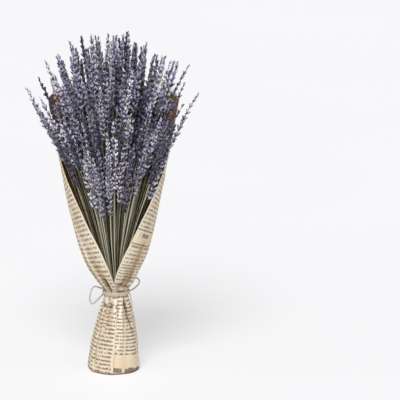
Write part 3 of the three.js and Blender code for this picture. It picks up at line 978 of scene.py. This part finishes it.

# %% [markdown]
# Dried lavender has lost most of its violet. The cups are grey-blue with a
# pale rim and a near-black foot, and the foot is painted shade, where the cups
# crowd round the stem. A few have dried to straw and a few have kept a deep
# violet. The colour follows the place along the cup and a random number of its
# own. Noise gives the cups their fine down, and fades some parts of the bunch
# more than others. Every sprig is lighter or darker as a whole, too, partly in
# its own tone and partly in painted light and shade, from nearly black to
# brighter than the cups' colour. The stems are painted lit or shaded the same
# way: some pale, some nearly black.

# %% Lavender materials


def cup_material():
    material, tree, shader = new_material("lavender_cup", 0.85)
    place = object_place(tree)
    along = attribute_value(tree, "along")
    tint = attribute_value(tree, "tint")
    # Painted shade: the near-black foot of every cup, in all three colours, stands for the shade where the
    # cups crowd round the stem; the pale rim is the cup's own colour.
    body = ramp(tree, along, [(0.0, paint(8, 8, 12)), (0.36, paint(26, 25, 36)), (0.6, paint(138, 138, 162)),
                              (0.8, paint(198, 197, 221)), (1.0, paint(228, 226, 240))])
    straw = ramp(tree, along, [(0.0, paint(18, 16, 12)), (0.5, paint(128, 121, 104)),
                               (1.0, paint(222, 214, 196))])
    deep = ramp(tree, along, [(0.0, paint(10, 10, 18)), (0.5, paint(44, 43, 78)),
                              (1.0, paint(112, 109, 156))])
    is_straw = fade(tree, tint, 0.76, 0.9)
    is_deep = ramp(tree, tint, [(0.16, (1, 1, 1, 1)), (0.32, (0, 0, 0, 1))])
    color = blend_colors(tree, calc(tree, "MULTIPLY", is_straw, 0.8), body, straw)
    color = blend_colors(tree, calc(tree, "MULTIPLY", is_deep, 0.85), color, deep)
    kept_violet = fade(tree, noise_at(tree, place, 17, 2), 0.52, 0.7, 0.55)
    color = blend_colors(tree, kept_violet, color, deep)
    faded = noise_at(tree, place, 28, 2)
    color = blend_colors(tree, fade(tree, faded, 0.35, 0.75, 0.45),
                         color, paint(128, 125, 134))
    # Painted light and shade: each sprig's cups are multiplied by its own random share, from nearly black, as
    # if deep in shade between the heads, to brighter than their colour, as if in full light; part of this
    # spread is the sprigs' own tone.
    shade = ramp(tree, attribute_value(tree, "sprig_tint"), [
        (0.0, (0.1, 0.1, 0.16, 1)), (0.4, (0.6, 0.6, 0.68, 1)), (1.0, (1.62, 1.6, 1.56, 1))])
    color = blend_colors(tree, 1.0, color, shade, "MULTIPLY")
    down = noise_at(tree, place, 1400, 2)
    light = ramp(tree, down, [(0.3, (0.78, 0.78, 0.78, 1)), (0.7, (1.12, 1.12, 1.12, 1))])
    color = blend_colors(tree, 1.0, color, light, "MULTIPLY")
    tree.links.new(color, shader.inputs["Base Color"])
    add_bump(tree, shader, down, 0.2 * MM)
    return material


def stem_material():
    material, tree, shader = new_material("lavender_stem", 0.75)
    place = object_place(tree)
    grain = noise_at(tree, place, 700, 3, (1, 1, 0.06))
    patches = noise_at(tree, place, 60, 3, (1, 1, 0.3))
    tint = attribute_value(tree, "tint")
    color = ramp(tree, grain, [(0.25, paint(74, 74, 56)), (0.5, paint(122, 122, 98)),
                               (0.75, paint(170, 168, 142))])
    straw = fade(tree, patches, 0.45, 0.7, 0.7)
    color = blend_colors(tree, straw, color, paint(150, 138, 108))
    # Painted light and shade, on top of the stems' own range of tone: a random number per stem paints some
    # pale, as if lit, and some nearly black, as if in shade among the others.
    pale = fade(tree, tint, 0.52, 0.72, 0.85)
    color = blend_colors(tree, pale, color, paint(214, 208, 184))
    dark = ramp(tree, tint, [(0.24, (0.85, 0.85, 0.85, 1)), (0.42, (0, 0, 0, 1))])
    color = blend_colors(tree, dark, color, paint(44, 41, 28))
    tree.links.new(color, shader.inputs["Base Color"])
    add_bump(tree, shader, grain, 0.2 * MM)
    return material


def bract_material():
    material, tree, shader = new_material("lavender_bract", 0.9)
    place = object_place(tree)
    veins = noise_at(tree, place, 900, 3, (1, 1, 0.3))
    color = ramp(tree, attribute_value(tree, "along"), [(0.0, paint(96, 84, 62)), (0.6, paint(160, 148, 122)),
                                                        (1.0, paint(196, 186, 164))])
    shade = ramp(tree, veins, [(0.3, (0.7, 0.7, 0.7, 1)), (0.7, (1, 1, 1, 1))])
    color = blend_colors(tree, 1.0, color, shade, "MULTIPLY")
    tree.links.new(color, shader.inputs["Base Color"])
    add_bump(tree, shader, veins, 0.1 * MM)
    return material


cup_finish, stem_finish, bract_finish = cup_material(), stem_material(), bract_material()
print("lavender materials are ready")

# %% [markdown]
# The sprig recipe. It takes a line from the cut end to the tip. The whole line
# becomes the stem, which thins upwards, and five sides are enough for it,
# because it is thinner than 2 mm. The last stretch becomes the head:
# points every few millimetres are the whorls, each point is copied once for
# each cup, and each copy is turned round the stem by its share of a full
# turn and leaned outwards. Higher up the cups are smaller and more upright.

# %% Sprig recipe


def random_number(tree, low, high, seed):
    made = add_node(tree, "FunctionNodeRandomValue", {"Min_001": low, "Max_001": high, "Seed": seed})
    return pick(made.outputs, "Value_001")


def named_number(tree, name, data_type="FLOAT"):
    return add_node(tree, "GeometryNodeInputNamedAttribute", {"Name": name}, data_type=data_type).outputs[0]


def kept_number(tree, shape, name, value, domain="POINT", data_type="FLOAT"):
    """Writes a value on the geometry under a name, for later steps and for the material."""
    made = add_node(tree, "GeometryNodeStoreNamedAttribute", {
        "Geometry": shape, "Name": name, "Value": value}, domain=domain, data_type=data_type)
    return made.outputs[0]


def moved_along_spine(tree, points, reach, seed):
    """Points shifted up or down the stem by up to the reach."""
    slide = random_number(tree, -reach, reach, seed)
    spine = named_number(tree, "spine", "FLOAT_VECTOR")
    scaled = add_node(tree, "ShaderNodeVectorMath", {0: spine, "Scale": slide}, operation="SCALE")
    shift = scaled.outputs["Vector"]
    return add_node(tree, "GeometryNodeSetPosition", {"Geometry": points, "Offset": shift}).outputs[0]


def whorl_parts(tree, whorls, count, lean_low, lean_high, size_low, size_high, shape, seed, pick_one):
    """Copies of a shape round each whorl, leaned outwards; the copies are still instances."""
    copies = add_node(tree, "GeometryNodeDuplicateElements", {
        "Geometry": whorls, "Amount": count}, domain="POINT")
    share = calc(tree, "DIVIDE", copies.outputs["Duplicate Index"], count)
    strewn = moved_along_spine(tree, copies.outputs["Geometry"], 1.9 * MM, calc(tree, "ADD", seed, 4))
    turn = calc(tree, "MULTIPLY", share, 2 * math.pi)
    turn = calc(tree, "ADD", turn, named_number(tree, "whorl_turn"))
    turn = calc(tree, "ADD", turn, random_number(tree, -0.3, 0.3, seed))
    rise = named_number(tree, "rise")
    upright = calc(tree, "SUBTRACT", 1.0, calc(tree, "MULTIPLY", calc(tree, "POWER", rise, 4.0), 0.6))
    lean = random_number(tree, lean_low, lean_high, calc(tree, "ADD", seed, 1))
    lean = calc(tree, "MULTIPLY", lean, upright)
    spine = add_node(tree, "FunctionNodeAlignRotationToVector", {
        "Vector": named_number(tree, "spine", "FLOAT_VECTOR")}, axis="Z")
    around = add_node(tree, "FunctionNodeAxisAngleToRotation", {"Axis": (0, 0, 1), "Angle": turn})
    outwards = add_node(tree, "FunctionNodeAxisAngleToRotation", {"Axis": (0, 1, 0), "Angle": lean})
    turned = add_node(tree, "FunctionNodeRotateRotation", {
        "Rotation": spine.outputs[0], "Rotate By": around.outputs[0]}, rotation_space="LOCAL")
    leaned = add_node(tree, "FunctionNodeRotateRotation", {
        "Rotation": turned.outputs[0], "Rotate By": outwards.outputs[0]}, rotation_space="LOCAL")
    taper = calc(tree, "SUBTRACT", 1.0, calc(tree, "MULTIPLY", calc(tree, "POWER", rise, 3.0), 0.3))
    size = calc(tree, "MULTIPLY", random_number(tree, size_low, size_high, calc(tree, "ADD", seed, 2)), taper)
    made = add_node(tree, "GeometryNodeInstanceOnPoints", {
        "Points": strewn, "Instance": shape, "Pick Instance": pick_one,
        "Rotation": leaned.outputs[0], "Scale": size})
    if pick_one:
        kind = add_node(tree, "FunctionNodeRandomValue", {
            "Min_002": 0, "Max_002": 2, "Seed": calc(tree, "ADD", seed, 3)}, data_type="INT")
        tree.links.new(pick(kind.outputs, "Value_002"), made.inputs["Instance Index"])
    return made.outputs[0]


def finished_part(tree, shape, material):
    real = add_node(tree, "GeometryNodeRealizeInstances", {"Geometry": shape})
    coloured = add_node(tree, "GeometryNodeSetMaterial", {"Geometry": real.outputs[0], "Material": material})
    return coloured.outputs[0]


STEM_STEP = 9 * MM
STEM_SIDES = 5
TIP_BARE = 2.5 * MM


def sprig_recipe():
    inputs = {"Stem radius": float, "Whorl spacing": float, "Cups": int, "Cup size": float, "Seed": int,
              "Bract": bpy.types.Object, "Cup material": bpy.types.Material,
              "Stem material": bpy.types.Material, "Bract material": bpy.types.Material}
    tree, given = new_recipe("sprig", inputs)
    line = add_node(tree, "GeometryNodeMeshToCurve", {"Mesh": given["Geometry"]}).outputs[0]
    # A random number per stem: its tone, and how lit or shaded the stem material paints it.
    line = kept_number(tree, line, "tint", random_number(tree, 0.0, 1.0, given["Seed"]), domain="CURVE")

    even = add_node(tree, "GeometryNodeResampleCurve", {
        "Curve": line, "Length": STEM_STEP}, mode="LENGTH").outputs[0]
    height = add_node(tree, "GeometryNodeSplineParameter").outputs["Factor"]
    thin = calc(tree, "SUBTRACT", 1.0, calc(tree, "MULTIPLY", height, 0.5))
    section = add_node(tree, "GeometryNodeCurvePrimitiveCircle", {
        "Resolution": STEM_SIDES, "Radius": 1.0}).outputs[0]
    stem = add_node(tree, "GeometryNodeCurveToMesh", {
        "Curve": even, "Profile Curve": section, "Scale": calc(tree, "MULTIPLY", thin, given["Stem radius"]),
        "Fill Caps": True}).outputs[0]

    length = add_node(tree, "GeometryNodeSplineLength").outputs["Length"]
    head_start = calc(tree, "SUBTRACT", length, named_number(tree, "head"))
    head_end = calc(tree, "SUBTRACT", length, TIP_BARE)
    # A random number per sprig makes all its cups lighter or darker: partly its tone, partly painted light
    # and shade.
    sprig_tint = random_number(tree, 0.0, 1.0, calc(tree, "ADD", given["Seed"], 7))
    line = kept_number(tree, line, "sprig_tint", sprig_tint, domain="CURVE")
    head = add_node(tree, "GeometryNodeTrimCurve", {
        "Curve": line, "Start_001": head_start, "End_001": head_end}, mode="LENGTH").outputs[0]
    head = kept_number(tree, head, "rise", add_node(tree, "GeometryNodeSplineParameter").outputs["Factor"])
    spots = add_node(tree, "GeometryNodeCurveToPoints", {"Curve": head, "Length": given["Whorl spacing"]},
                     mode="LENGTH")
    whorls = kept_number(tree, spots.outputs["Points"], "spine", spots.outputs["Tangent"],
                         data_type="FLOAT_VECTOR")
    whorls = kept_number(tree, whorls, "whorl_turn", random_number(tree, 0.0, 2 * math.pi, given["Seed"]))
    whorls = moved_along_spine(tree, whorls, 1.2 * MM, calc(tree, "ADD", given["Seed"], 11))

    kinds = add_node(tree, "GeometryNodeCollectionInfo", {
        "Collection": cups, "Separate Children": True, "Reset Children": True}).outputs[0]
    cup_seed = calc(tree, "ADD", given["Seed"], 20)
    size = given["Cup size"]
    placed = whorl_parts(tree, whorls, given["Cups"], 0.22, 0.8, 0.76, 1.12, kinds, cup_seed, True)
    grown = add_node(tree, "GeometryNodeScaleInstances", {"Instances": placed, "Scale": size}).outputs[0]
    tint = random_number(tree, 0.0, 1.0, calc(tree, "ADD", given["Seed"], 40))
    tinted = kept_number(tree, grown, "tint", tint, domain="INSTANCE")
    leaf = add_node(tree, "GeometryNodeObjectInfo", {"Object": given["Bract"]}).outputs["Geometry"]
    bract_seed = calc(tree, "ADD", given["Seed"], 60)
    leaves = whorl_parts(tree, whorls, 2, 0.7, 1.15, 0.7, 1.15, leaf, bract_seed, False)

    both = add_node(tree, "GeometryNodeJoinGeometry")
    for shape, material in ((stem, "Stem material"), (tinted, "Cup material"), (leaves, "Bract material")):
        tree.links.new(finished_part(tree, shape, given[material]), both.inputs[0])
    end = tree.nodes.new("NodeGroupOutput")
    tree.links.new(both.outputs[0], end.inputs[0])
    return tree


sprig = sprig_recipe()
print("sprig recipe:", len(sprig.nodes), "nodes")

# %% [markdown]
# Each CAD sprig is a plain rod with a fatter end. Its rings of points are
# level, so the middle of each ring is a point of the stem's own line, and the
# rings show where the head begins. Real stems are never quite straight, so a
# slow waver is added that grows with the distance from the tie.

# %% Sprig lines from the frame
STEM_RADIUS = 0.84 * MM
HEAD_MARGIN = 1.6


def cad_line(node):
    """Points of a CAD sprig's middle line from cut end to tip, and the length of its head."""
    points = np.array([v.co for v in node.data.vertices])
    levels = np.unique(np.round(points[:, 2], 6))
    line = []
    widths = []
    for z in levels:
        near = np.unique(np.round(points[np.abs(points[:, 2] - z) < 2e-6], 6), axis=0)
        low, high = near.min(axis=0), near.max(axis=0)
        line.append([(low[0] + high[0]) / 2, (low[1] + high[1]) / 2, z])
        widths.append(high[0] - low[0])
    base = next(z for z, width in zip(levels, widths) if width > HEAD_MARGIN * widths[0])
    return np.array(line), levels[-1] - base


sprig_nodes = sorted(name for name in frame["nodes"] if name.startswith("sprig_"))
cad_lines = {}
for name in sprig_nodes:
    cad_lines[name] = cad_line(frame["nodes"][name])
print("sprigs:", len(cad_lines), "heads:",
      round(min(head for _, head in cad_lines.values()) / MM), "to",
      round(max(head for _, head in cad_lines.values()) / MM), "mm")

# %% [markdown]
# The pleats and creases of the paper reach inwards, and the hem curls in under
# the cut ends, so real stems are pushed aside there. A ray from the middle of
# the bundle towards a stem finds the paper's inner face. Where the stem would
# stand in it or past it, it moves in, and so does the stretch around, less and
# less with the distance, so that the stem bends gently.

# %% Stems kept inside the paper
PRESS_HEIGHT = 150 * MM
PRESS_EASE = 34 * MM
STEM_CLEARANCE = 0.8 * MM
RAYS_ASIDE = (-1, -0.5, 0, 0.5, 1)
LEAST_RAY_HEIGHT = 0.6 * MM
wrap_tree = BVHTree.FromPolygons([v.co for v in wrap.data.vertices], [f.vertices for f in wrap.data.polygons])


def room_inside(middle, angle, z, radius):
    """How far from the middle a stem may stand in a direction, with a stem's width to both sides."""
    room = STEM_RADIUS + STEM_CLEARANCE
    reaches = []
    for aside in RAYS_ASIDE:
        turned = angle + aside * room / max(radius, room)
        start = Vector((middle, 0, max(z, LEAST_RAY_HEIGHT)))
        hit = wrap_tree.ray_cast(start, Vector((math.cos(turned), math.sin(turned), 0)), 2 * FOOT_RADIUS)
        if hit[0] is not None:
            reaches.append(hit[3] - room)
    return min(reaches, default=math.inf)


def inside_wrap(path):
    """The line of a stem, pressed in where the paper's folds need its place."""
    low = path[:, 2] < PRESS_HEIGHT
    offsets = path[:, :2] - np.stack([middle_x(path[:, 2]), 0 * path[:, 2]], axis=-1)
    radii = np.linalg.norm(offsets, axis=1)
    press = np.zeros(len(path))
    for i in np.flatnonzero(low):
        angle = math.atan2(offsets[i, 1], offsets[i, 0])
        room = room_inside(middle_x(path[i, 2]), angle, path[i, 2], radii[i])
        press[i] = max(0, radii[i] - room)
    nearness = np.clip(1 - np.abs(path[:, None, 2] - path[None, :, 2]) / PRESS_EASE, 0, 1)
    eased = (nearness * press).max(axis=1)
    pressed = path.copy()
    pressed[:, :2] -= offsets * np.clip(eased / np.maximum(radii, 1 * MM), 0, 1)[:, None]
    return pressed


print("the paper is ready to hold the stems:", len(wrap.data.polygons), "faces")

# %% [markdown]
# Now the sprigs that the frame has, one piece for each, grown along its own
# line. Each gets its own seed, and its cups and whorls differ a little in
# number and size.

# %% Fifty sprigs
LINE_STEP = 5 * MM
WAVER = 1.5 * MM
SIDE_START = 80 * MM


def line_at(line, z):
    """A sprig's line at some heights, drawn on straight past its tip."""
    x = np.interp(z, line[:, 2], line[:, 0])
    y = np.interp(z, line[:, 2], line[:, 1])
    over = np.maximum(0, z - line[-1, 2])
    slope = (line[-1, :2] - line[-4, :2]) / (line[-1, 2] - line[-4, 2])
    return np.stack([x + over * slope[0], y + over * slope[1], z], axis=-1)


def wavering(path, random):
    """The line with a slow waver above the tie."""
    free = np.clip((path[:, 2] - WAIST_HEIGHT - 30 * MM) / (300 * MM), 0, 1)
    phase = random.uniform(0, 2 * math.pi, 2)
    waves = random.uniform(45, 75, 2)
    path = path.copy()
    for axis in (0, 1):
        path[:, axis] += WAVER * free * np.sin(path[:, 2] * waves[axis] + phase[axis])
    return path


def sprig_values(random, seed, wide_open=False):
    """Values for the recipe; a sprig at the side has its whorls well apart."""
    spacing = random.uniform(7.0, 8.2) if wide_open else random.uniform(5.4, 7.0)
    return {
        "Stem radius": STEM_RADIUS, "Whorl spacing": float(spacing) * MM,
        "Cups": int(random.integers(4, 7)), "Cup size": float(random.uniform(0.92, 1.14)), "Seed": seed,
        "Bract": bract, "Cup material": cup_finish, "Stem material": stem_finish,
        "Bract material": bract_finish}


def heights_to(tip):
    return np.linspace(0, tip, max(8, round(tip / LINE_STEP)))


rng = np.random.default_rng(11)
total_faces = 0
for number, name in enumerate(sprig_nodes):
    line, head = cad_lines[name]
    path = inside_wrap(wavering(line_at(line, heights_to(line[-1, 2])), rng))
    lines = line_mesh(name, [path], {"head": [head]})
    at_side = abs(line[-1, 0]) > SIDE_START
    values = sprig_values(rng, 100 + number, at_side)
    piece = grow(name.replace("sprig", "lavender_sprig"), sprig, lines, values)
    finish_piece(piece, "lavender", name)
    total_faces += len(piece.data.polygons)
print("faces of fifty sprigs:", total_faces)

# %% [markdown]
# Fifty sprigs leave gaps that the real bunch doesn't have: it holds far more.
# The others stand between them. At the tie, free places for stems are looked
# for on a sunflower pattern, each a stem's thickness away from all others. A
# stem at such a place borrows its run from the few nearest of the fifty, so
# that it stays among them from the cut end to the head. Its tip ends lower
# than theirs, most of all at the front and at the sides, where the heads step
# down towards the paper.

# %% Free places at the tie
PLACES = 900
STEM_PITCH = 1.46 * MM
NEIGHBOURS = 3
tie = np.array([WAIST_HEIGHT])
taken = [line_at(cad_lines[name][0], tie)[0][:2] - np.array(winding_middle[:2]) for name in sprig_nodes]
cad_places = list(taken)
tie_ring = max(np.linalg.norm(place) for place in taken)
free_places = []
for i in range(PLACES):
    radius = tie_ring * math.sqrt((i + 0.5) / PLACES)
    turn = i * math.pi * (3 - math.sqrt(5))
    place = radius * np.array([math.cos(turn), math.sin(turn)])
    if min(np.linalg.norm(place - other) for other in taken) > STEM_PITCH:
        taken.append(place)
        free_places.append(place)
print("stems that fit between the fifty:", len(free_places))

# %% Sprigs in between
MORE_PIECES = 12
FRONT_LOW = 188 * MM
FRONT_RISE = 70 * MM
FRONT_HALF_WIDTH = 60 * MM
FRONT_HIGHEST = 266 * MM
LAYERS_DEPTH = 120 * MM
LAYER_SPREAD = 38 * MM
LONGEST_OVER = 14 * MM
SIDE_WEIGHT = 0.9
BOX_MARGIN = 9 * MM
WIDEST = 1.22
SHORTEST_HEAD = 62
LONGEST_HEAD = 90
TIP_PLAY = 14
BEHIND = 0.3
SPREAD_POWER = 1.5


def near_sprigs(place):
    """The nearest CAD sprigs at the tie, and how much each one counts."""
    gaps = np.array([np.linalg.norm(place - other) for other in cad_places])
    near = np.argsort(gaps)[:NEIGHBOURS]
    share = 1 / gaps[near] ** 2
    return near, share / share.sum()


def borrowed_line(place, tip):
    """The line of a stem at a place of the tie, from the nearest CAD sprigs, kept inside the CAD box."""
    near, share = near_sprigs(place)
    z = heights_to(tip)
    path = sum(s * line_at(cad_lines[sprig_nodes[i]][0], z) for s, i in zip(share, near))
    middle = sum(s * cad_places[i] for s, i in zip(share, near))
    wider = min(WIDEST, np.linalg.norm(place) / max(np.linalg.norm(middle), 1 * MM))
    end = path[-1]
    room_x = (CAD_HIGH.x if end[0] > 0 else -CAD_LOW.x) - BOX_MARGIN
    room_y = (CAD_HIGH.y if end[1] > 0 else -CAD_LOW.y) - BOX_MARGIN
    wider = min(wider, room_x / max(abs(end[0]), 1 * MM), room_y / max(abs(end[1]), 1 * MM))
    path[:, 0] = middle_x(z) + (path[:, 0] - middle_x(z)) * wider
    path[:, 1] *= wider
    return path


def head_span(place):
    """Bottom and top of a head. The outer layers stand lowest, at the front and at the sides."""
    near, share = near_sprigs(place)
    tips = np.array([cad_lines[sprig_nodes[i]][0][-1, 2] for i in near])
    highest = min(share @ tips, tips.min() + LONGEST_OVER)
    path = borrowed_line(place, highest)
    arc = FRONT_LOW + FRONT_RISE * ((path[:, 0] - middle_x(WAIST_HEIGHT)) / FRONT_HALF_WIDTH) ** 2
    above = path[:, 2] >= np.minimum(arc, FRONT_HIGHEST)
    lowest = path[above, 2].min()
    outer = math.hypot(SIDE_WEIGHT * place[0], min(0, place[1])) / tie_ring
    bottom = lowest + LAYERS_DEPTH * max(0, 1 - outer) + LAYER_SPREAD * rng.uniform(0, 1) ** SPREAD_POWER
    head = rng.uniform(SHORTEST_HEAD, LONGEST_HEAD) * MM
    if place[1] > BEHIND * tie_ring or bottom + head > highest:
        top = highest - rng.uniform(0, TIP_PLAY) * MM
        return top - head, top
    return bottom, bottom + head


extra = []
for place in free_places:
    bottom, top = head_span(place)
    extra.append((inside_wrap(wavering(borrowed_line(place, top), rng)), top - bottom))

extra.sort(key=lambda one: math.atan2(one[0][-1, 0], -one[0][-1, 1]))
for group in range(MORE_PIECES):
    members = extra[group * len(extra) // MORE_PIECES:(group + 1) * len(extra) // MORE_PIECES]
    name = f"more_sprigs_{group + 1:02d}"
    lines = line_mesh(name, [path for path, _ in members], {"head": [head for _, head in members]})
    piece = grow(name, sprig, lines, sprig_values(rng, 300 + group))
    finish_piece(piece, "lavender")
    total_faces += len(piece.data.polygons)
print("sprigs in between:", len(extra), "faces of all sprigs:", total_faces)

# %% [markdown]
# The room. A pale floor that reaches past the view on all sides is also the
# background, because the camera looks down on it. A wide soft lamp high in
# front gives the light its direction, two weaker ones at the sides lift the
# shadows, and a pale world fills in the rest. The lamps are far away, so the
# floor is equally bright everywhere, and it glows a little itself.

# %% Floor and light
for helper in (section_shape, hair_shape, bract):
    bpy.data.objects.remove(helper)
for cup in list(cups.objects):
    bpy.data.objects.remove(cup)
bpy.data.collections.remove(cups)

FLOOR_SIZE = 60
FLOOR_GLOW = 0.44
ROOM_LIGHT = 0.25
bpy.ops.mesh.primitive_plane_add(size=FLOOR_SIZE)
floor = bpy.context.object
floor.name = "floor"
floor_finish, tree, shader = new_material("floor", 0.6)
grain = noise_at(tree, object_place(tree), 3, 2)
pale = ramp(tree, grain, [(0.3, paint(189, 189, 191)), (0.7, paint(191, 191, 193))])
tree.links.new(pale, shader.inputs["Base Color"])
shader.inputs["Emission Color"].default_value = (1, 1, 1, 1)
shader.inputs["Emission Strength"].default_value = FLOOR_GLOW
floor.data.materials.append(floor_finish)


def soft_sun(name, azimuth, elevation, softness, strength):
    """A far lamp as wide as its softness, in degrees; azimuth and elevation say where it stands."""
    data = bpy.data.lights.new(name, "SUN")
    data.angle = math.radians(softness)
    data.energy = strength
    lamp = bpy.data.objects.new(name, data)
    scene.collection.objects.link(lamp)
    turn, rise = math.radians(azimuth), math.radians(elevation)
    way = Vector((math.sin(turn) * math.cos(rise), -math.cos(turn) * math.cos(rise), math.sin(rise)))
    lamp.rotation_euler = way.to_track_quat("Z", "Y").to_euler()


soft_sun("key", -10, 50, 28, 2.5)
soft_sun("left_fill", -62, 26, 60, 0.5)
soft_sun("right_fill", 58, 26, 60, 0.5)
world = bpy.data.worlds.new("room")
world.use_nodes = True
world.node_tree.nodes["Background"].inputs["Color"].default_value = (0.95, 0.96, 1.0, 1)
world.node_tree.nodes["Background"].inputs["Strength"].default_value = ROOM_LIGHT
scene.world = world
scene.view_settings.view_transform = "Standard"
print("lamps are set")

# %% Finish
bpy.context.view_layer.update()
print("CAD box:", CAD_BOX)
